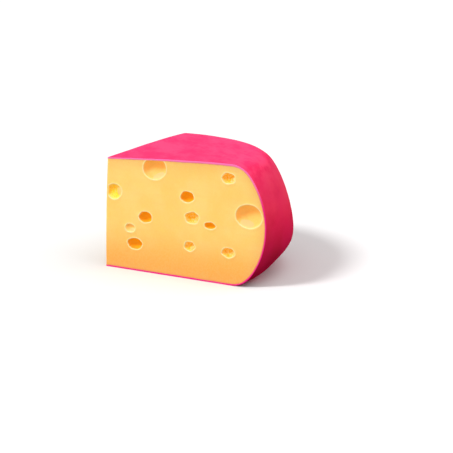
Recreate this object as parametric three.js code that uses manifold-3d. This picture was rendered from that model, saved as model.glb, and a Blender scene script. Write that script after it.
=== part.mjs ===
// A wedge cut from a small wheel of waxed cheese, in millimetres, with +Z up.
// It stands on the wheel's flat base. The thin edge, where the two cut faces meet, points to -X
// and the waxed rim to +X. The origin is below the middle of the wedge's box, at table height.
import * as THREE from "three";
import { mergeVertices } from "three/addons/utils/BufferGeometryUtils.js";
import Module from "manifold-3d";

// The wheel, measured over its wax
const wheelRadius = 120;
const wheelHeight = 77;
const rimCornerRadius = 18; // rounding between a flat side and the rim
const rimBulgeRadius = 51; // the rim bows outwards with this radius in section
const centreDip = 3.6; // how far the top sinks towards the wheel's centre
const dipPower = 1.6; // how quickly it sinks
const coatThickness = 1.0;
const coatClearance = 0.3; // between the wax and the cheese inside it
const sagOut = 2.2; // between the cut faces the rim sags: how far it swells
const sagDown = 13; // and how far its widest line sinks

// The cut
const wedgeAngle = THREE.MathUtils.degToRad(91.8);
const edgeRadius = 1.5; // rounding of the upright edge between the cut faces
const edgeSlump = 2.8; // how far the soft edge leans out at its foot
const slumpPower = 1.7; // how the lean grows towards the foot

// How finely the curves are split into flats
const wheelSides = 72;
const arcSteps = 3; // steps per half of each arc of the outline
const dipSteps = 6;
const cutSteps = 6;
const cutArcSteps = 8; // for each arc of the cut seen from above
const eyeSides = 16;
const eyeRings = 10;
const weldDistance = 1e-4; // corners nearer than this are one

// The eyes are gas bubbles that the knife opened. Each has its middle at a share of the cut face's
// length, from the thin edge, and of the wheel's height. Its width, height and depth are sizes.
const frontEyes = [
  { along: 0.316, up: 0.899, width: 17.4, height: 14.4, depth: 5.5 },
  { along: 0.057, up: 0.664, width: 11.2, height: 9.8, depth: 3.2 },
  { along: 0.525, up: 0.691, width: 10.0, height: 6.8, depth: 5.5 },
  { along: 0.776, up: 0.882, width: 9.4, height: 6.4, depth: 4.0 },
  { along: 0.898, up: 0.59, width: 18.4, height: 14.4, depth: 5.5 },
  { along: 0.558, up: 0.521, width: 10.2, height: 7.2, depth: 4.0 },
  { along: 0.667, up: 0.475, width: 7.8, height: 4.2, depth: 3.0 },
  { along: 0.544, up: 0.28, width: 7.6, height: 5.8, depth: 3.0 },
  { along: 0.778, up: 0.271, width: 9.0, height: 5.8, depth: 3.5 },
  { along: 0.262, up: 0.475, width: 10.0, height: 7.2, depth: 5.5 },
  { along: 0.164, up: 0.366, width: 7.4, height: 5.4, depth: 2.0 },
  { along: 0.196, up: 0.235, width: 11.6, height: 7.2, depth: 5.0 },
];
const backEyes = [
  { along: 0.2, up: 0.73, width: 12.4, height: 9.6, depth: 4.5 },
  { along: 0.44, up: 0.83, width: 9.0, height: 6.6, depth: 4.0 },
  { along: 0.66, up: 0.72, width: 17.2, height: 14.0, depth: 6.0 },
  { along: 0.87, up: 0.79, width: 8.2, height: 6.2, depth: 4.0 },
  { along: 0.34, up: 0.52, width: 8.4, height: 5.4, depth: 3.0 },
  { along: 0.53, up: 0.45, width: 11.2, height: 8.4, depth: 5.5 },
  { along: 0.79, up: 0.43, width: 9.6, height: 7.0, depth: 4.5 },
  { along: 0.13, up: 0.33, width: 8.8, height: 6.4, depth: 3.5 },
  { along: 0.37, up: 0.22, width: 13.0, height: 9.2, depth: 5.0 },
  { along: 0.63, up: 0.19, width: 7.4, height: 5.0, depth: 2.5 },
  { along: 0.88, up: 0.24, width: 10.4, height: 7.4, depth: 4.0 },
];

const halfAngle = wedgeAngle / 2;
const cutReach = wheelRadius * 1.2; // how far from the centre the cut runs, past the rim
const edgeStart = edgeRadius / Math.sin(halfAngle) - edgeRadius; // the rounded edge's top, along +X

const wasm = await Module();
wasm.setup();

// A closed geometry as a solid that can be joined and cut.
function toSolid(geometry) {
  geometry.deleteAttribute("normal");
  geometry.deleteAttribute("uv");
  const merged = mergeVertices(geometry, weldDistance);
  return new wasm.Manifold(
    new wasm.Mesh({
      numProp: 3,
      vertProperties: merged.attributes.position.array,
      triVerts: new Uint32Array(merged.index.array),
    }),
  );
}

function toGeometry(solid) {
  const mesh = solid.getMesh();
  const geometry = new THREE.BufferGeometry();
  geometry.setAttribute("position", new THREE.BufferAttribute(mesh.vertProperties, 3));
  geometry.setIndex(new THREE.BufferAttribute(mesh.triVerts, 1));
  const flat = geometry.toNonIndexed();
  flat.computeVertexNormals();
  return flat;
}

// The whole wheel, shrunk all over by an inset: flat base, two rounded corners, a bowed rim
// and a top that dips towards the centre.
function wheel(inset) {
  const cornerRadius = rimCornerRadius - inset;
  const bulgeRadius = rimBulgeRadius - inset;
  const cornerRise = wheelHeight / 2 - rimCornerRadius; // from the wheel's middle height
  const bulgeCentre = wheelRadius - rimBulgeRadius;
  const cornerCentre = bulgeCentre + Math.sqrt((bulgeRadius - cornerRadius) ** 2 - cornerRise ** 2);
  const meeting = Math.atan2(cornerRise, cornerCentre - bulgeCentre);
  const middle = wheelHeight / 2;
  const top = wheelHeight - inset;

  const outline = new THREE.Path();
  outline.moveTo(0, inset);
  outline.lineTo(cornerCentre, inset);
  outline.absarc(cornerCentre, middle - cornerRise, cornerRadius, -Math.PI / 2, -meeting, false);
  outline.absarc(bulgeCentre, middle, bulgeRadius, -meeting, meeting, false);
  outline.absarc(cornerCentre, middle + cornerRise, cornerRadius, meeting, Math.PI / 2, false);
  const points = outline.getPoints(arcSteps);
  for (let step = 1; step <= dipSteps; step++) {
    const inwards = step / dipSteps;
    const sunk = centreDip * inwards ** dipPower;
    points.push(new THREE.Vector2(cornerCentre * (1 - inwards), top - sunk));
  }
  return toSolid(sagged(new THREE.LatheGeometry(points, wheelSides).rotateX(Math.PI / 2)));
}

// Lets the rim sag, most in the middle of the wedge and at mid height, not at all at the cut faces.
function sagged(geometry) {
  const corners = geometry.attributes.position;
  for (let i = 0; i < corners.count; i++) {
    const out = Math.hypot(corners.getX(i), corners.getY(i));
    const across = Math.atan2(corners.getY(i), corners.getX(i)) / halfAngle;
    const up = corners.getZ(i);
    const nearRim = THREE.MathUtils.smoothstep(out, wheelRadius / 2, wheelRadius);
    const midHeight = Math.sin((Math.PI * up) / wheelHeight) ** 2;
    const sag = nearRim * Math.max(0, 1 - across ** 2) * midHeight;
    const swell = out > 0 ? (out + sagOut * sag) / out : 1;
    corners.setXYZ(i, corners.getX(i) * swell, corners.getY(i) * swell, up - sagDown * sag);
  }
  return geometry;
}

// How far the upright edge leans out at a height: all of it at the foot, none at the top.
function slumpAt(up) {
  const share = THREE.MathUtils.clamp(up / wheelHeight, 0, 1);
  return edgeSlump * (1 - share ** slumpPower);
}

// The wedge that the knife leaves: a sector with a rounded, slightly slumped upright edge.
function cutWedge() {
  const edgeCentre = edgeStart + edgeRadius;
  const turn = Math.PI / 2 + halfAngle; // where the rounded edge meets a cut face
  const outline = new THREE.Shape();
  outline.absarc(edgeCentre, 0, edgeRadius, turn, -turn + 2 * Math.PI, false);
  outline.absarc(0, 0, cutReach, -halfAngle, halfAngle, false);
  const stepHeight = wheelHeight / cutSteps;
  const block = new THREE.ExtrudeGeometry(outline, {
    depth: wheelHeight + 2 * stepHeight,
    steps: cutSteps + 2,
    curveSegments: cutArcSteps,
    bevelEnabled: false,
  }).translate(0, 0, -stepHeight);
  const corners = block.attributes.position;
  for (let i = 0; i < corners.count; i++) {
    const fromCentre = Math.hypot(corners.getX(i), corners.getY(i));
    if (fromCentre < cutReach / 2) {
      corners.setX(i, corners.getX(i) - slumpAt(corners.getZ(i)));
    }
  }
  return toSolid(block);
}

// One eye, centred on a cut face. The side is -1 for the front cut face and +1 for the back one.
function eyeSolid(eye, side) {
  const along = eye.along * wheelRadius;
  const up = eye.up * wheelHeight;
  const faceAngle = side * halfAngle;
  const lean = slumpAt(up) * (1 - along / cutReach);
  const ball = new THREE.SphereGeometry(1, eyeSides, eyeRings);
  ball.scale(eye.width / 2, eye.depth, eye.height / 2);
  ball.rotateZ(faceAngle);
  ball.translate(along * Math.cos(faceAngle) - lean, along * Math.sin(faceAngle), up);
  return toSolid(ball);
}

const wedge = cutWedge();

const wax = wheel(0).subtract(wheel(coatThickness)).intersect(wedge);

let cheese = wheel(coatThickness + coatClearance).intersect(wedge);
for (const eye of frontEyes) {
  cheese = cheese.subtract(eyeSolid(eye, -1));
}
for (const eye of backEyes) {
  cheese = cheese.subtract(eyeSolid(eye, 1));
}

const paste = new THREE.Mesh(
  toGeometry(cheese),
  new THREE.MeshStandardMaterial({ color: 0xffd473, roughness: 0.5, metalness: 0 }),
);
paste.name = "cheese_paste";

const coat = new THREE.Mesh(
  toGeometry(wax),
  new THREE.MeshStandardMaterial({ color: 0xf03c78, roughness: 0.35, metalness: 0 }),
);
coat.name = "wax_coat";

const cheeseWedge = new THREE.Group();
cheeseWedge.add(paste, coat);
const box = new THREE.Box3().setFromObject(cheeseWedge);
cheeseWedge.position.x = -(box.min.x + box.max.x) / 2;

export default cheeseWedge;
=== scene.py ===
import math
import bmesh
import bpy
import numpy as np
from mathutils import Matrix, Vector, noise
from mathutils.geometry import delaunay_2d_cdt


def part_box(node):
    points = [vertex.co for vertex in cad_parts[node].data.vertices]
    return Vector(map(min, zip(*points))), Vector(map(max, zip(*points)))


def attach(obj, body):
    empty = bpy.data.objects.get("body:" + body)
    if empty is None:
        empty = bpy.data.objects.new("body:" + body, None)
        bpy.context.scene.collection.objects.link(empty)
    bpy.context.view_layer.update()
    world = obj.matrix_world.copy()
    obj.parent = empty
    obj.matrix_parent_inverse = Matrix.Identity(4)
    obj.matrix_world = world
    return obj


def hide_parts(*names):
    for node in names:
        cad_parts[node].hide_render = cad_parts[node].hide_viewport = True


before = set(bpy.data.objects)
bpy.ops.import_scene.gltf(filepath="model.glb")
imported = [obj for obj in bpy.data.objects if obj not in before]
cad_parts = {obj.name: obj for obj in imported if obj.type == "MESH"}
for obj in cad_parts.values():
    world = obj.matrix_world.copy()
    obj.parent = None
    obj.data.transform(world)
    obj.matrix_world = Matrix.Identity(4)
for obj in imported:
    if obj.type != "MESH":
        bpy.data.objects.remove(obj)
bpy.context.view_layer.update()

mm = 0.001
print("frame loaded")


# the wheel and its cut, as the solids have them
wheel = {
    "cornerRadius": 18 * mm,  # between a flat side and the rim, over the wax
    "bulgeRadius": 51 * mm,  # the rim bows out with this radius in section
    "centreDip": 3.6 * mm,  # how far the top sinks towards the wheel's centre
    "dipPower": 1.6,
    "halfAngle": math.radians(45.9),
    "edgeRadius": 1.5 * mm,  # rounding of the upright edge between the cut faces
    "edgeSlump": 2.8 * mm,  # how far that edge leans out at its foot
    "slumpPower": 1.7,
    "sagOut": 2.2 * mm,  # between the cut faces the rim sags: how far it swells
    "sagDown": 13 * mm,  # and how far its widest line sinks
    "cutWave": 0.14 * mm,  # how far a cut face strays from flat
    "waveLength": 24 * mm,
    "finerWave": 0.3,  # height of the finer wave on it, as a share
    "cutReach": 24,  # the higher, the closer to the cut the straying stays
}

waxLow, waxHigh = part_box("wax_coat")
cosHalf = math.cos(wheel["halfAngle"])
sinHalf = math.sin(wheel["halfAngle"])
edgeCentre = wheel["edgeRadius"] / sinHalf  # of the rounded edge, out from the axis
edgeTangent = wheel["edgeRadius"] / math.tan(wheel["halfAngle"])  # where a flat face begins
axisX = waxLow.x + wheel["edgeSlump"] - (edgeCentre - wheel["edgeRadius"])
wheelRadius = waxHigh.x - axisX - wheel["sagOut"]
wheelHeight = waxHigh.z
middle = wheelHeight / 2
cornerRise = middle - wheel["cornerRadius"]
bulgeOut = wheelRadius - wheel["bulgeRadius"]
cornerReach = wheel["bulgeRadius"] - wheel["cornerRadius"]
cornerOut = bulgeOut + math.sqrt(cornerReach ** 2 - cornerRise ** 2)
meetAngle = math.atan2(cornerRise, cornerOut - bulgeOut)


def mix(a, b, share):
    return a + (b - a) * share


def smooth(value):
    value = min(1.0, max(0.0, value))
    return value * value * (3 - 2 * value)


def topAt(out):
    inwards = max(0.0, 1 - out / cornerOut)
    return wheelHeight - wheel["centreDip"] * inwards ** wheel["dipPower"]


def section(spacing):
    # the wheel's outline from the foot of the thin edge, round the rim, to the edge's top: each
    # point has its distance out from the axis, its height, and the way out of the wax there
    corner = wheel["cornerRadius"]
    bulge = wheel["bulgeRadius"]
    flatSteps = round((cornerOut - edgeTangent) / spacing)
    cornerSteps = round(corner * (math.pi / 2 - meetAngle) / spacing)
    rimSteps = round(bulge * 2 * meetAngle / spacing)
    points = []
    for k in range(flatSteps):
        points.append((mix(edgeTangent, cornerOut, k / flatSteps), 0.0, 0.0, -1.0))
    arcs = [
        (cornerOut, corner, corner, -math.pi / 2, -meetAngle, cornerSteps),
        (bulgeOut, middle, bulge, -meetAngle, meetAngle, rimSteps),
        (cornerOut, wheelHeight - corner, corner, meetAngle, math.pi / 2, cornerSteps),
    ]
    for centreOut, centreUp, radius, start, end, steps in arcs:
        for k in range(steps):
            a = mix(start, end, k / steps)
            away = (math.cos(a), math.sin(a))
            points.append((centreOut + radius * away[0], centreUp + radius * away[1], *away))
    for k in range(flatSteps + 1):
        out = mix(cornerOut, edgeTangent, k / flatSteps)
        points.append((out, topAt(out), 0.0, 1.0))
    return points


def facing(across):
    # the way out of the cut: across is -1 on the front face, 1 on the back one and between them
    # on the rounded edge
    a = math.pi - wheel["halfAngle"] * across
    return Vector((math.cos(a), math.sin(a), 0))


def place(out, across, up):
    # a point of the wedge: how far from the axis, where between the two cut faces, how high; rows
    # close to the axis follow the rounded edge, and further out they are arcs
    nearRim = smooth(2 * out / wheelRadius - 1)
    sag = nearRim * (1 - across ** 2) * math.sin(math.pi * up / wheelHeight) ** 2
    out += wheel["sagOut"] * sag
    up -= wheel["sagDown"] * sag
    edgeY = edgeTangent * sinHalf * across
    edgeBow = edgeCentre - math.sqrt(wheel["edgeRadius"] ** 2 - edgeY ** 2) - edgeTangent * cosHalf
    turned = wheel["halfAngle"] * across
    ringBow = out * (math.cos(turned) - cosHalf)
    ring = smooth((out - edgeTangent) / (5 * edgeTangent))
    x = out * cosHalf + mix(edgeBow, ringBow, ring)
    y = mix(out * sinHalf * across, out * math.sin(turned), ring)
    upShare = min(1.0, max(0.0, up / wheelHeight))
    x -= wheel["edgeSlump"] * (1 - upShare ** wheel["slumpPower"]) * (1 - out / wheelRadius)
    point = Vector((axisX + x, y, up))
    nearCut = abs(across) ** wheel["cutReach"]
    if nearCut > 0.001:
        side = 1 if across > 0 else -1
        probe = Vector((out, side * wheelRadius, up)) / wheel["waveLength"]
        wave = noise.noise(probe) + wheel["finerWave"] * noise.noise(probe * 3.1)
        point += facing(side) * (wave * wheel["cutWave"] * nearCut)
    return point


class MeshMaker:
    # collects points with their marks (numbers that the material reads), and faces
    def __init__(self, *marks):
        self.points = []
        self.faces = []
        self.marks = {name: [] for name in marks}

    def add(self, point, **marks):
        self.points.append(point)
        for name, values in self.marks.items():
            values.append(marks.get(name, 0.0))
        return len(self.points) - 1

    def strip(self, first, second, closed=False):
        # quads between two rows of point numbers
        count = len(first)
        for k in range(count if closed else count - 1):
            n = (k + 1) % count
            self.faces.append((first[k], first[n], second[n], second[k]))

    def finish(self, name, weld, sharpAngle):
        mesh = bpy.data.meshes.new(name)
        mesh.from_pydata(self.points, [], self.faces)
        for mark, values in self.marks.items():
            mesh.attributes.new(mark, "FLOAT", "POINT").data.foreach_set("value", values)
        body = bmesh.new()
        body.from_mesh(mesh)
        bmesh.ops.remove_doubles(body, verts=body.verts, dist=weld)
        bmesh.ops.dissolve_degenerate(body, edges=body.edges, dist=weld)
        bmesh.ops.recalc_face_normals(body, faces=body.faces)
        openEdges = sum(1 for e in body.edges if len(e.link_faces) != 2)
        body.to_mesh(mesh)
        body.free()
        mesh.shade_smooth()
        mesh.set_sharp_from_angle(angle=sharpAngle)
        piece = bpy.data.objects.new(name, mesh)
        bpy.context.scene.collection.objects.link(piece)
        print(name, len(mesh.vertices), "points", len(mesh.polygons), "faces")
        print(name, openEdges, "open edges")
        return piece


# the cheese: each eye is a gas bubble that the knife opened, placed by shares of the cut face's
# length from the thin edge and of the wheel's height, with its width, height and depth
paste = {
    "inset": 0.8 * mm,  # under the wax
    "insetTop": 0.3 * mm,  # how much more it is under the top
    "spacing": 1.3 * mm,
    "rowSpacing": 0.866,  # the next four are shares of the spacing
    "jitter": 0.25,
    "outlineGap": 0.55,
    "eyeGap": 0.4,
    "skinSteps": 20,
    "lipWidth": 1 * mm,  # the rounded rim of an eye, painted pale as a highlight
    "lipRise": 0.1 * mm,
    "ringStep": 0.42 * mm,
    "leastSpokes": 40,
    "coarseCrumbs": 700,  # to a metre
    "fineCrumbs": 1800,
    "sunkLeast": 0.25 * mm,  # left between an eye and the wax, but under the top insetTop takes it up
    "shelfLeast": 0.1 * mm,  # the shallowest that a shelf in an eye gets
    "backPaintedGlow": 0.3,  # how strong the painted glow is in the back face's eyes, beside the front's
    "wetWidth": 12 * mm,  # the band beside the wax that is a little darker
    "weld": 0.002 * mm,
    "sharpFrom": math.radians(55),
}
eyeKinds = {
    # undercut: how far the bubble's middle lies inside the face, as a share of its radius
    # tint: how far its inside is painted yellow to orange, as light through a thin wall and shade
    # deep inside; pale: how pale it is inside; crumb: how rough
    # wobble and corners: how uneven its rim
    # shelves: flatter stretches of its wall, each with the way that it lies from the eye's
    # middle in degrees, the share of the way out where it starts, and its own tint and pale
    "broad": {
        "undercut": 0.05, "tint": 0.0, "pale": 0.15, "crumb": 0.03 * mm, "wobble": 0.02,
        "corners": 0.0, "shelves": [(-74, 0.5, 0.0, 1.0)],
    },
    "split": {
        "undercut": 0.05, "tint": 0.0, "pale": 0.15, "crumb": 0.03 * mm, "wobble": 0.02,
        "corners": 0.0, "shelves": [(-107, 0.52, 0.0, 1.0)],
    },
    "sheer": {
        "undercut": -0.45, "tint": 0.5, "pale": 0.0, "crumb": 0.1 * mm, "wobble": 0.03,
        "corners": 0.0, "shelves": [(5, 0.0, 0.3, 0.7)],
    },
    "deep": {
        "undercut": 0.35, "tint": 1.0, "pale": 0.0, "crumb": 0.12 * mm, "wobble": 0.04,
        "corners": 0.06, "shelves": [],
    },
    "crumbly": {
        "undercut": 0.0, "tint": 0.8, "pale": 0.1, "crumb": 0.22 * mm, "wobble": 0.05,
        "corners": 0.08, "shelves": [(-40, 0.1, 0.85, 0.65)],
    },
    "dimple": {
        "undercut": -0.35, "tint": 0.0, "pale": 0.3, "crumb": 0.04 * mm, "wobble": 0.03,
        "corners": 0.0, "shelves": [(-65, 0.15, 0.0, 0.9)],
    },
}
frontEyes = [
    ("broad", 0.316, 0.899, 17.4 * mm, 14.4 * mm, 5.5 * mm),
    ("sheer", 0.057, 0.664, 11.2 * mm, 9.8 * mm, 3.2 * mm),
    ("deep", 0.525, 0.691, 10.0 * mm, 6.8 * mm, 5.5 * mm),
    ("crumbly", 0.776, 0.882, 9.4 * mm, 6.4 * mm, 4.0 * mm),
    ("split", 0.898, 0.59, 18.4 * mm, 14.4 * mm, 5.5 * mm),
    ("crumbly", 0.558, 0.521, 10.2 * mm, 7.2 * mm, 4.0 * mm),
    ("deep", 0.667, 0.475, 7.8 * mm, 4.2 * mm, 3.5 * mm),
    ("crumbly", 0.544, 0.28, 7.6 * mm, 5.8 * mm, 3.0 * mm),
    ("crumbly", 0.778, 0.271, 9.0 * mm, 5.8 * mm, 3.5 * mm),
    ("deep", 0.262, 0.475, 10.0 * mm, 7.2 * mm, 5.5 * mm),
    ("dimple", 0.164, 0.366, 7.4 * mm, 5.4 * mm, 2.0 * mm),
    ("deep", 0.196, 0.235, 11.6 * mm, 7.2 * mm, 5.5 * mm),
]
backEyes = [
    ("crumbly", 0.2, 0.73, 12.4 * mm, 9.6 * mm, 4.5 * mm),
    ("crumbly", 0.44, 0.83, 9.0 * mm, 6.6 * mm, 4.0 * mm),
    ("broad", 0.66, 0.72, 17.2 * mm, 14.0 * mm, 6.5 * mm),
    ("deep", 0.87, 0.79, 8.2 * mm, 6.2 * mm, 4.5 * mm),
    ("dimple", 0.34, 0.52, 8.4 * mm, 5.4 * mm, 2.4 * mm),
    ("deep", 0.53, 0.45, 11.2 * mm, 8.4 * mm, 6.5 * mm),
    ("crumbly", 0.79, 0.43, 9.6 * mm, 7.0 * mm, 4.5 * mm),
    ("deep", 0.13, 0.33, 8.8 * mm, 6.4 * mm, 3.8 * mm),
    ("broad", 0.37, 0.22, 13.0 * mm, 9.2 * mm, 5.0 * mm),
    ("dimple", 0.63, 0.19, 7.4 * mm, 5.0 * mm, 2.0 * mm),
    ("crumbly", 0.88, 0.24, 10.4 * mm, 7.4 * mm, 4.0 * mm),
]


def rimAt(up):
    # how far out the rim is at a height, over the wax
    rise = abs(up - middle)
    if rise < wheel["bulgeRadius"] * math.sin(meetAngle):
        return bulgeOut + math.sqrt(wheel["bulgeRadius"] ** 2 - rise ** 2)
    beyond = min(wheel["cornerRadius"], rise - cornerRise)
    return cornerOut + math.sqrt(wheel["cornerRadius"] ** 2 - beyond ** 2)


def keepInside(out, up, margin):
    # holds an eye's point clear of the wax and of the thin edge
    up = min(max(up, paste["inset"] + margin), topAt(out) - paste["inset"] - margin)
    out = min(max(out, edgeTangent + margin), rimAt(up) - paste["inset"] - margin)
    return out, up


def waxGap(out, up):
    # how far a point of a cut face is from the wax
    rim = rimAt(up) - out
    return min(up, topAt(out) - up, rim) - paste["inset"]


def inLoop(spots, loop):
    # which spots lie inside a closed outline
    x, y = spots[:, 0], spots[:, 1]
    found = np.zeros(len(spots), bool)
    for (x1, y1), (x2, y2) in zip(loop, np.roll(loop, -1, axis=0)):
        if y1 == y2:
            continue
        crossing = (y1 > y) != (y2 > y)
        found ^= crossing & (x < (x2 - x1) * (y - y1) / (y2 - y1) + x1)
    return found


def loopDistance(spots, loop):
    # how far each spot is from the nearest side of an outline
    least = np.full(len(spots), 1.0)
    for start, end in zip(loop, np.roll(loop, -1, axis=0)):
        along = end - start
        share = np.clip((spots - start) @ along / max(along @ along, 1e-18), 0, 1)
        least = np.minimum(least, np.linalg.norm(spots - start - share[:, None] * along, axis=1))
    return least


def addEye(maker, eye, side, number):
    # rings from the flat face over the lip and down the bubble; returns the outermost one's
    # places on the face
    kind, along, upShare, width, height, depth = eye
    form = eyeKinds[kind]
    centreOut = along * wheelRadius
    centreUp = upShare * wheelHeight
    inward = -facing(side)
    # painted glow: full in the front face's eyes, weaker in the back face's
    paintedGlow = 1 if side < 0 else paste["backPaintedGlow"]
    seed = Vector((number * 7.3, side * 3.1, 1.7))
    count = max(paste["leastSpokes"], round(math.pi * (width + height) / 2 / paste["ringStep"]))
    spokes = []
    for k in range(count):
        a = 2 * math.pi * k / count
        around = Vector((math.cos(a), math.sin(a), 0))
        uneven = 2 * noise.noise(seed + around * 1.1) + noise.noise(seed * 2 + around * 2.6)
        corners = math.cos(5 * a + number) * form["corners"] / 2
        spokes.append((around, 1 + uneven * form["wobble"] + corners))
    shelves = []
    for turn, start, tint, pale in form["shelves"]:
        way = (math.cos(math.radians(turn)), math.sin(math.radians(turn)))
        reach = math.hypot(width / 2 * way[0], height / 2 * way[1])
        slope = depth * math.sqrt(1 - start ** 2) / ((1 - start) * reach)
        shelves.append((way, reach, slope, tint, pale))

    def wall(sunk, out, up):
        # how deep the wall is where shelves cut it off, and how orange and pale it is there
        tint, pale = form["tint"], form["pale"]
        for way, reach, slope, shelfTint, shelfPale in shelves:
            fromRim = reach - (out - centreOut) * way[0] - (up - centreUp) * way[1]
            shelf = max(paste["shelfLeast"], fromRim * slope)
            if shelf < sunk:
                sunk, tint, pale = shelf, shelfTint, shelfPale
        return sunk, tint, pale

    def ring(grow, shrink, sunk, even, margin, lip):
        row = []
        flat = []
        for around, radius in spokes:
            radius = mix(radius, 1, even) * shrink
            out = centreOut + around.x * (width / 2 * radius + grow)
            up = centreUp + around.y * (height / 2 * radius + grow)
            out, up = keepInside(out, up, margin)
            flat.append((out, up))
            lower, tint, pale = wall(sunk, out, up)
            deep = max(0.0, lower / depth)
            point = place(out, side, up) + inward * lower
            if deep > 0:
                rough = noise.noise(point * paste["coarseCrumbs"])
                rough += 0.6 * noise.noise(point * paste["fineCrumbs"])
                point += inward * (rough * form["crumb"] * smooth(deep * 3))
            near = nearness(out, up)
            row.append(maker.add(
                point, eyeDepth=deep, eyeTint=tint, eyePale=pale, eyeGlow=paintedGlow, eyeLip=lip,
                nearWax=near,
            ))
        return row, flat

    least = paste["sunkLeast"]
    lip = paste["lipWidth"]
    rise = paste["lipRise"]
    outer, flat = ring(lip, 1, 0, 0, least, 0)
    rows = [outer]
    # the last number of each row: how much painted highlight it gets on the lip
    for grow, sunk, margin, pale in [
        (lip * 0.7, -rise * 0.7, least * 1.3, 0.7),
        (lip * 0.4, -rise, least * 1.6, 1),
        (lip * 0.12, -rise * 0.2, least * 1.9, 1),
        (0, lip * 0.2, least * 2.2, 0.8),
    ]:
        rows.append(ring(grow, 1, sunk, 0, margin, pale)[0])
    start = -math.asin(form["undercut"])
    ball = 1 / math.cos(start)
    undercut = form["undercut"] * ball
    arcLength = (width + height + depth * 2) / 4 * (math.pi / 2 - start)
    steps = max(8, round(arcLength / paste["ringStep"]))
    for k in range(1, steps):
        share = k / steps
        a = mix(start, math.pi / 2, share)
        fall = (undercut + ball * math.sin(a)) / (undercut + ball)
        sunk = mix(lip * 0.2, depth, fall)
        # the painted lip highlight fades down the bowl
        pale = 0.5 * (1 - share) ** 4
        rows.append(ring(0, ball * math.cos(a), sunk, 0.6 * share, least * 2.5, pale)[0])
    for first, second in zip(rows, rows[1:]):
        maker.strip(first, second, closed=True)
    out, up = keepInside(centreOut, centreUp, least)
    lower, tint, pale = wall(depth, out, up)
    pole = maker.add(
        place(out, side, up) + inward * lower,
        eyeDepth=1, eyeTint=tint, eyePale=pale, eyeGlow=paintedGlow,
    )
    last = rows[-1]
    for k in range(count):
        maker.faces.append((last[k], last[(k + 1) % count], pole))
    return np.array(flat)


def nearness(out, up):
    return max(0.0, 1 - waxGap(out, up) / paste["wetWidth"])


def addCutFace(maker, outline, eyes, side):
    loops = [addEye(maker, eye, side, number) for number, eye in enumerate(eyes)]
    step = paste["spacing"]
    low, high = outline.min(axis=0), outline.max(axis=0)
    rows = round((high[1] - low[1]) / (step * paste["rowSpacing"]))
    spots = []
    for r in range(1, rows):
        up = mix(low[1], high[1], r / rows)
        for c in range(round((high[0] - low[0]) / step) + 1):
            jitter = noise.noise_vector(Vector((c * 1.37, r * 1.91, side * 5.3)))
            jitter = jitter * (step * paste["jitter"])
            spots.append((low[0] + (c + 0.5 * (r % 2)) * step + jitter.x, up + jitter.y))
    spots = np.array(spots)
    keep = inLoop(spots, outline)
    keep &= loopDistance(spots, outline) > step * paste["outlineGap"]
    for loop in loops:
        nearby = ~inLoop(spots, loop)
        nearby[nearby] = loopDistance(spots[nearby], loop) > step * paste["eyeGap"]
        keep &= nearby
    everything = [outline, *loops, spots[keep]]
    edges = []
    start = 0
    for loop in everything[:-1]:
        edges += [(start + k, start + (k + 1) % len(loop)) for k in range(len(loop))]
        start += len(loop)
    flat = [Vector(spot) for spot in np.concatenate(everything)]
    spots, _, triangles, *_ = delaunay_2d_cdt(flat, edges, [], 1, 1e-7)
    spots = np.array([tuple(spot) for spot in spots])
    triangles = np.array(triangles)
    centres = spots[triangles].mean(axis=1)
    wanted = inLoop(centres, outline)
    for loop in loops:
        wanted &= ~inLoop(centres, loop)
    numbers = [maker.add(place(out, side, up), nearWax=nearness(out, up)) for out, up in spots]
    for triangle in triangles[wanted]:
        maker.faces.append(tuple(numbers[n] for n in triangle))


def buildPaste():
    maker = MeshMaker("eyeDepth", "eyeTint", "eyePale", "eyeGlow", "eyeLip", "nearWax")
    inset = paste["inset"]
    skin = []
    for out, up, a, b in section(paste["spacing"]):
        down = inset * b + paste["insetTop"] * max(0.0, b)
        skin.append((out - inset * a, up - down))
    foot, head = skin[0][1], skin[-1][1]
    edgeSteps = round((head - foot) / paste["spacing"])
    edge = [(edgeTangent, mix(head, foot, k / edgeSteps)) for k in range(edgeSteps + 1)]
    outline = np.array(skin + edge[1:-1])
    addCutFace(maker, outline, frontEyes, -1)
    addCutFace(maker, outline, backEyes, 1)
    across = [mix(-1, 1, k / paste["skinSteps"]) for k in range(paste["skinSteps"] + 1)]
    for line, near in ((skin, 1), (edge, 0)):
        rows = [[maker.add(place(out, a, up), nearWax=near) for a in across] for out, up in line]
        for first, second in zip(rows, rows[1:]):
            maker.strip(first, second)
    return maker.finish("cheese", paste["weld"], paste["sharpFrom"])


# the wax: one dipped skin over the base, rim and top, cut clean with the cheese
coat = {
    "spacing": 1.6 * mm,
    "acrossStep": 1.9 * mm,  # along the rim
    "thickness": 0.83 * mm,
    "thickerTop": 0.3 * mm,
    "thicker": 0.45 * mm,  # how much more it is in places
    "dents": 0.16 * mm,
    "dentLength": 22 * mm,
    "ripples": 0.035 * mm,
    "rippleLength": 4 * mm,
    "bead": 0.15 * mm,  # how far the cut wax stands out of the cut face
    "thinBy": 0.4 * mm,  # the wax is thinner on top towards the thin edge
    "thinReach": 80 * mm,
    "flatFoot": 4 * mm,  # no dents below, so that it stands flat
    "patchesPerMetre": 90,
    "weld": 0.001 * mm,
    "sharpFrom": math.radians(60),
    # the cut edge's rows: the share of the way from the outside in, and of the bead's height
    "beadRows": [(0.0, 0.25), (0.1, 0.75), (0.3, 1), (0.7, 1), (0.9, 0.75), (1.0, 0.25)],
}


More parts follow.
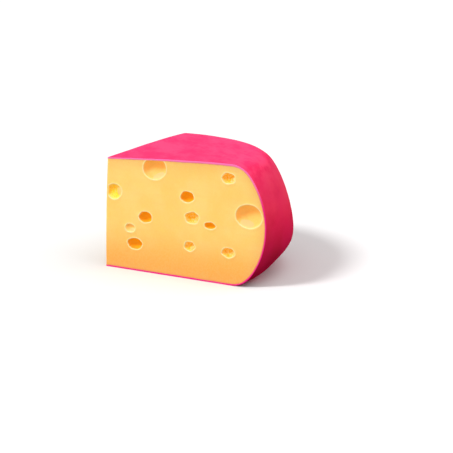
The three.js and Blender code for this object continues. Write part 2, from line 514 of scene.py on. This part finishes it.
def buildCoat():
    maker = MeshMaker("cutEdge")
    line = section(coat["spacing"])
    steps = round(wheelRadius * 2 * wheel["halfAngle"] / coat["acrossStep"])
    across = [mix(-1, 1, k / steps) for k in range(steps + 1)]
    outer, inner = [], []
    for out, up, a, b in line:
        outerRow, innerRow = [], []
        for side in across:
            turned = wheel["halfAngle"] * side
            away = Vector((a * math.cos(turned), a * math.sin(turned), b))
            point = place(out, side, up)
            dent = coat["dents"] * noise.noise(point / coat["dentLength"])
            dent += coat["ripples"] * noise.noise(point / coat["rippleLength"])
            dent *= smooth(up / coat["flatFoot"])
            dent -= coat["thinBy"] * max(0.0, b) * smooth(1 - out / coat["thinReach"])
            thick = coat["thickness"] + coat["thickerTop"] * max(0.0, b)
            patch = noise.noise(point * coat["patchesPerMetre"] + Vector((3, 1, 4)))
            thick += coat["thicker"] * abs(patch)
            outerRow.append(maker.add(point + away * dent))
            innerRow.append(maker.add(place(out - a * thick, side, up - b * thick)))
        outer.append(outerRow)
        inner.append(innerRow)
    for rows in (outer, inner):
        for first, second in zip(rows, rows[1:]):
            maker.strip(first, second)
    last, end = len(line) - 1, steps
    around = [(j, 0) for j in range(last)] + [(last, i) for i in range(end)]
    around += [(j, end) for j in range(last, 0, -1)] + [(0, i) for i in range(end, 0, -1)]
    rows = [[outer[j][i] for j, i in around]]
    for share, stand in coat["beadRows"]:
        row = []
        for j, i in around:
            point = maker.points[outer[j][i]].lerp(maker.points[inner[j][i]], share)
            row.append(maker.add(point + facing(across[i]) * coat["bead"] * stand, cutEdge=1))
        rows.append(row)
    rows.append([inner[j][i] for j, i in around])
    for first, second in zip(rows, rows[1:]):
        maker.strip(first, second, closed=True)
    return maker.finish("wax", coat["weld"], coat["sharpFrom"])


# shader sums are written as plain sums on sockets
class Wire:
    def __init__(self, shader, socket):
        self.shader = shader
        self.socket = socket

    def maths(self, operation, first, second):
        return self.shader.node("Math", {"operation": operation}, {0: first, 1: second})

    def __add__(self, other):
        return self.maths("ADD", self, other)

    def __sub__(self, other):
        return self.maths("SUBTRACT", self, other)

    def __mul__(self, other):
        return self.maths("MULTIPLY", self, other)

    def __pow__(self, other):
        return self.maths("POWER", self, other)

    def __rsub__(self, other):
        return self.maths("SUBTRACT", other, self)

    __radd__ = __add__
    __rmul__ = __mul__


class Shader:
    def __init__(self, name):
        self.material = bpy.data.materials.new(name)
        self.material.use_nodes = True
        self.tree = self.material.node_tree
        self.tree.nodes.clear()

    def node(self, kind, settings, sockets, out=0):
        made = self.tree.nodes.new("ShaderNode" + kind)
        for name, value in settings.items():
            setattr(made, name, value)
        for name, value in sockets.items():
            if isinstance(value, Wire):
                self.tree.links.new(value.socket, made.inputs[name])
            else:
                made.inputs[name].default_value = value
        return Wire(self, made.outputs[out])

    def blend(self, first, second, share):
        # the Mix node has sockets of one name for each type, so the colours go by number
        return self.node("Mix", {"data_type": "RGBA"}, {0: share, 6: first, 7: second}, 2)

    def between(self, value, low, high):
        # 0 below low, 1 above high, smooth between them
        settings = {"interpolation_type": "SMOOTHSTEP"}
        return self.node("MapRange", settings, {0: value, 1: low, 2: high})

    def noise(self, where, scale, detail=2.0, roughness=0.5):
        sockets = {"Vector": where, "Scale": scale, "Detail": detail, "Roughness": roughness}
        return self.node("TexNoise", {}, sockets)

    def mark(self, name):
        return self.node("Attribute", {"attribute_name": name}, {}, "Fac")

    def upright(self, vector):
        return self.node("SeparateXYZ", {}, {"Vector": vector}, "Z")

    def stretch(self, where, by):
        return self.node("VectorMath", {"operation": "MULTIPLY"}, {0: where, 1: by})

    def bump(self, height, strength, distance):
        sockets = {"Height": height, "Strength": strength, "Distance": distance}
        return self.node("Bump", {}, sockets)

    def finish(self, sockets):
        surface = self.node("BsdfPrincipled", {}, sockets)
        end = self.tree.nodes.new("ShaderNodeOutputMaterial")
        self.tree.links.new(surface.socket, end.inputs["Surface"])
        return self.material


def rgb(red, green, blue):
    # screen values from 0 to 255 as the linear colour that a shader takes
    def linear(value):
        value /= 255
        return value / 12.92 if value <= 0.04045 else ((value + 0.055) / 1.055) ** 2.4
    return (linear(red), linear(green), linear(blue), 1)


pasteLook = {
    "colour": rgb(255, 212, 122),
    "cloud": rgb(255, 206, 108),
    "cloudScale": 55,
    "dragged": rgb(255, 204, 112),  # faint streaks that the knife left
    "draggedShare": 0.4,
    "draggedScale": (40, 40, 420),
    # painted shade and warm bounced light: the paste is more orange towards the foot
    "low": rgb(255, 172, 76),
    "lowShadeFrom": 36 * mm,
    "underWax": rgb(255, 176, 94),
    "underWaxShare": 0.6,
    "pinkLine": rgb(236, 84, 104),  # a pink line on the paste right beside the wax
    "pinkLineShare": 0.7,
    "pinkLineFrom": 0.91,
    # painted shade: the eyes' walls are darker than the flat face
    "eyeWallShade": rgb(238, 174, 92),
    "eyeWallShadeShare": 0.85,
    # painted light and shade: yellow for light through a thin wall, orange for shade deep in an eye
    "eyeSheerPaintedLight": rgb(254, 202, 10),
    "eye": rgb(226, 150, 0),
    "shelf": rgb(250, 198, 136),
    "crumbScale": 950,
    "crumbShare": 0.6,
    "speck": rgb(255, 226, 170),  # crumbs in the rough eyes
    "speckShare": 0.4,
    "noPaintedGlow": rgb(0, 0, 0),
    "paintedGlow": rgb(138, 92, 8),  # painted glow: emission that lightens the shade inside the eyes
    # painted highlight on the eyes' rounded rims
    "lip": rgb(252, 230, 168),
    "lipHighlightShare": 0.85,
    "grain": rgb(255, 226, 150),
    "grainShare": 0.12,
    "grainScale": 900,
    "fineScale": 1600,
    "pitScale": 260.0,
    "bumpStrength": 0.35,
    "bumpDepth": 0.12 * mm,
    "roughness": 0.42,
    "roughnessChange": 0.2,
    "gloss": 0.12,
    "scatter": 0.4,
    "scatterColour": (1.0, 0.6, 0.25),
    "scatterDepth": 3 * mm,
}


def pasteMaterial():
    look = pasteLook
    shader = Shader("cheese paste")
    where = shader.node("TexCoord", {}, {}, "Object")
    height = shader.upright(where)
    clouds = shader.noise(where, look["cloudScale"], 3)
    grain = shader.noise(where, look["grainScale"], 2)
    fine = shader.noise(where, look["fineScale"], 3)
    dragged = shader.noise(shader.stretch(where, look["draggedScale"]), 1.0, 3)
    crumbs = shader.between(shader.noise(where, look["crumbScale"], 2), 0.4, 0.62)
    nearWax = shader.mark("nearWax")

    colour = shader.blend(look["colour"], look["cloud"], shader.between(clouds, 0.35, 0.65))
    streaks = shader.between(dragged, 0.45, 0.7) * look["draggedShare"]
    colour = shader.blend(colour, look["dragged"], streaks)
    # painted shade and warm bounced light towards the foot
    low = 1 - shader.between(height, 0.0, look["lowShadeFrom"])
    colour = shader.blend(colour, look["low"], low)
    colour = shader.blend(colour, look["underWax"], nearWax ** 2 * look["underWaxShare"])
    pinkLine = shader.between(nearWax, look["pinkLineFrom"], 1.0) * look["pinkLineShare"]
    colour = shader.blend(colour, look["pinkLine"], pinkLine)

    # the eyes: painted shade on their walls, painted yellow to orange light and shade by their tint,
    # pale shelves and crumbs, and a painted glow that lightens their shade
    deepness = shader.between(shader.mark("eyeDepth"), 0.02, 0.15)
    tint = shader.mark("eyeTint") * deepness
    pale = shader.mark("eyePale") * deepness
    # painted shade on the eyes' walls
    colour = shader.blend(colour, look["eyeWallShade"], deepness * look["eyeWallShadeShare"])
    # painted light through thin walls, then painted shade deep in the eyes
    colour = shader.blend(colour, look["eyeSheerPaintedLight"], shader.between(tint, 0.0, 0.5))
    colour = shader.blend(colour, look["eye"], shader.between(tint, 0.5, 1.0))
    # painted glow lights the eyes' shade, but not their lit shelves
    shining = shader.mark("eyeGlow") * deepness * (1 - shader.between(pale, 0.6, 0.75))
    paintedGlow = shader.blend(look["noPaintedGlow"], look["paintedGlow"], shining)
    crumbling = shader.between(tint, 0.2, 0.5) * (1 - crumbs) * look["crumbShare"]
    colour = shader.blend(colour, look["shelf"], pale * (1 - crumbling))
    rough = shader.between(tint, 0.3, 0.6) * (1 - shader.between(tint, 0.88, 0.95))
    colour = shader.blend(colour, look["speck"], rough * crumbs * look["speckShare"])
    # painted highlight on the eyes' lips
    colour = shader.blend(colour, look["lip"], shader.mark("eyeLip") * look["lipHighlightShare"])
    speckle = shader.between(grain, 0.3, 0.7) * (1 - tint)
    colour = shader.blend(colour, look["grain"], speckle * look["grainShare"])

    pits = shader.node("TexVoronoi", {}, {"Vector": where, "Scale": look["pitScale"]})
    relief = fine * 0.5 + shader.between(pits, 0.02, 0.12) * 0.25 + dragged * 0.2
    return shader.finish({
        "Base Color": colour,
        "Roughness": look["roughness"] + (fine - 0.5) * look["roughnessChange"],
        "Normal": shader.bump(relief, look["bumpStrength"], look["bumpDepth"]),
        "Subsurface Weight": look["scatter"],
        "Subsurface Radius": look["scatterColour"],
        "Subsurface Scale": look["scatterDepth"],
        "Specular IOR Level": look["gloss"],
        "Emission Color": paintedGlow,
        "Emission Strength": 1.0,
    })


coatLook = {
    "top": rgb(255, 70, 116),
    "topCloud": rgb(255, 54, 104),
    "cloudScale": (50, 20, 50),
    # the rim's crimson is partly its own colour and partly painted shade, darker than the top because
    # it faces sideways
    "rim": rgb(255, 54, 84),
    # painted highlight along the rim's upper part
    "rimHighlight": rgb(255, 76, 110),
    "rimHighlightShare": 0.4,
    "rimHighlightFrom": 36 * mm,
    "rimHighlightTo": 60 * mm,
    "rimPatch": rgb(244, 26, 92),
    "rimPatchShare": 0.5,
    "rimPatchScale": 22,
    "rimCloud": rgb(216, 18, 64),
    "rimCloudShare": 0.3,
    # painted shade: the rim darkens towards its foot
    "rimLowShade": rgb(128, 0, 24),
    "rimLowShadeTo": 54 * mm,
    "shoulderShade": rgb(226, 30, 78),  # painted shade, where the rim turns into the top
    "shoulderShadeShare": 0.5,
    # the cut edge of the wax: its own pink-magenta, painted lighter towards the top as a highlight
    "cut": rgb(255, 120, 178),
    "cutHighlightFrom": 68 * mm,
    "cutLow": rgb(244, 40, 130),
    "cutLowTo": 50 * mm,
    "fineScale": 420,
    "peelScale": 700,
    "streakScale": (500, 500, 60),
    "bumpStrength": 0.3,
    "bumpDepth": 0.12 * mm,
    "roughness": 0.45,
    "roughnessChange": 0.2,
    "scatter": 0.12,
    "scatterColour": (1.0, 0.25, 0.35),
    "scatterDepth": 1.5 * mm,
}


def coatMaterial():
    look = coatLook
    shader = Shader("pink cheese wax")
    where = shader.node("TexCoord", {}, {}, "Object")
    height = shader.upright(where)
    facingUp = shader.upright(shader.node("NewGeometry", {}, {}, "Normal"))
    clouds = shader.noise(shader.stretch(where, look["cloudScale"]), 1.0, 5, 0.65)
    fine = shader.noise(where, look["fineScale"], 3)
    patches = shader.noise(where, look["rimPatchScale"], 3)
    peel = shader.noise(where, look["peelScale"], 2)
    streaks = shader.noise(shader.stretch(where, look["streakScale"]), 1.0, 2)

    cloudy = shader.between(clouds + fine * 0.3, 0.55, 0.75)
    top = shader.blend(look["top"], look["topCloud"], cloudy)
    # painted shade towards the rim's foot
    rising = shader.between(height, 0.0, look["rimLowShadeTo"])
    rim = shader.blend(look["rimLowShade"], look["rim"], rising)
    # painted highlight on the upper rim
    high = shader.between(height, look["rimHighlightFrom"], look["rimHighlightTo"])
    rim = shader.blend(rim, look["rimHighlight"], high * look["rimHighlightShare"])
    patchy = shader.between(patches, 0.35, 0.65) * look["rimPatchShare"]
    rim = shader.blend(rim, look["rimPatch"], patchy)
    cloudy = shader.between(clouds, 0.45, 0.7) * look["rimCloudShare"]
    rim = shader.blend(rim, look["rimCloud"], cloudy)
    # by which way the wax faces: pink top, crimson rim that is partly painted shade
    colour = shader.blend(rim, top, shader.between(facingUp, 0.15, 0.95))
    # painted shade in a band on the shoulder
    shoulderShade = shader.between(facingUp, 0.45, 0.7) * (1 - shader.between(facingUp, 0.8, 0.97))
    shadedShoulder = shoulderShade * shader.between(clouds, 0.35, 0.6) * look["shoulderShadeShare"]
    colour = shader.blend(colour, look["shoulderShade"], shadedShoulder)
    # the cut edge's own colour, painted lighter towards the top as a highlight
    risen = shader.between(height, look["cutLowTo"], look["cutHighlightFrom"])
    cut = shader.blend(look["cutLow"], look["cut"], risen)
    colour = shader.blend(colour, cut, shader.mark("cutEdge"))

    relief = peel * 0.5 + clouds * 0.8 + streaks * 0.3
    return shader.finish({
        "Base Color": colour,
        "Roughness": look["roughness"] + (fine - 0.5) * look["roughnessChange"],
        "Normal": shader.bump(relief, look["bumpStrength"], look["bumpDepth"]),
        "Subsurface Weight": look["scatter"],
        "Subsurface Radius": look["scatterColour"],
        "Subsurface Scale": look["scatterDepth"],
        "Specular IOR Level": 0.0,
    })


studio = {
    "azimuth": math.radians(-14.21),  # the view's turn about the wedge
    "pitch": math.radians(12.69),  # how far it looks down
    "lens": 95.36,
    "distance": 0.815,
    "aim": Vector((0.0204, 0.0003, 0.0221)),
    "floorSize": 30.0,
    "floorColour": (0.8, 0.8, 0.8, 1),
    "floorRoughness": 0.9,
    "skyStrength": 0.42,
    "lights": [
        # name, turn about the wedge, height angle, how wide it looks, strength
        ("key", -72, 46, 14, 2.25),
        ("fill", -50, 20, 80, 0.5),
        ("top", 60, 58, 60, 1.35),
    ],
}


def direction(turn, rise):
    level = math.cos(rise)
    return Vector((math.sin(turn) * level, -math.cos(turn) * level, math.sin(rise)))


def buildStudio():
    scene = bpy.context.scene
    scene.view_settings.view_transform = "Standard"
    camera = bpy.data.objects.new("camera", bpy.data.cameras.new("camera"))
    scene.collection.objects.link(camera)
    away = direction(studio["azimuth"], studio["pitch"])
    camera.location = studio["aim"] + away * studio["distance"]
    camera.rotation_euler = away.to_track_quat("Z", "Y").to_euler()
    camera.data.lens = studio["lens"]
    camera.data.clip_start = 0.01
    scene.camera = camera

    world = bpy.data.worlds.new("studio")
    scene.world = world
    world.use_nodes = True
    sky = world.node_tree.nodes["Background"]
    sky.inputs["Color"].default_value = (1, 1, 1, 1)
    sky.inputs["Strength"].default_value = studio["skyStrength"]

    bpy.ops.mesh.primitive_plane_add(size=studio["floorSize"], location=(0, 0, 0))
    floor = bpy.context.object
    floor.name = "floor"
    floorLook = {"Base Color": studio["floorColour"], "Roughness": studio["floorRoughness"]}
    floor.data.materials.append(Shader("pale floor").finish(floorLook))
    floor.visible_diffuse = False  # the wedge is lit by the sky from below too, which is dimmer

    for name, turn, rise, width, strength in studio["lights"]:
        lamp = bpy.data.lights.new(name, "SUN")
        lamp.energy = strength
        lamp.angle = math.radians(width)
        light = bpy.data.objects.new(name, lamp)
        scene.collection.objects.link(light)
        away = direction(math.radians(turn), math.radians(rise))
        light.rotation_euler = away.to_track_quat("Z", "Y").to_euler()
    print("studio ready")


buildStudio()

cheese = buildPaste()
cheese.data.materials.append(pasteMaterial())
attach(cheese, "root")
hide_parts("cheese_paste")
print("cheese ready")

wax = buildCoat()
wax.data.materials.append(coatMaterial())
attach(wax, "root")
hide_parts("wax_coat")
print("wax ready")
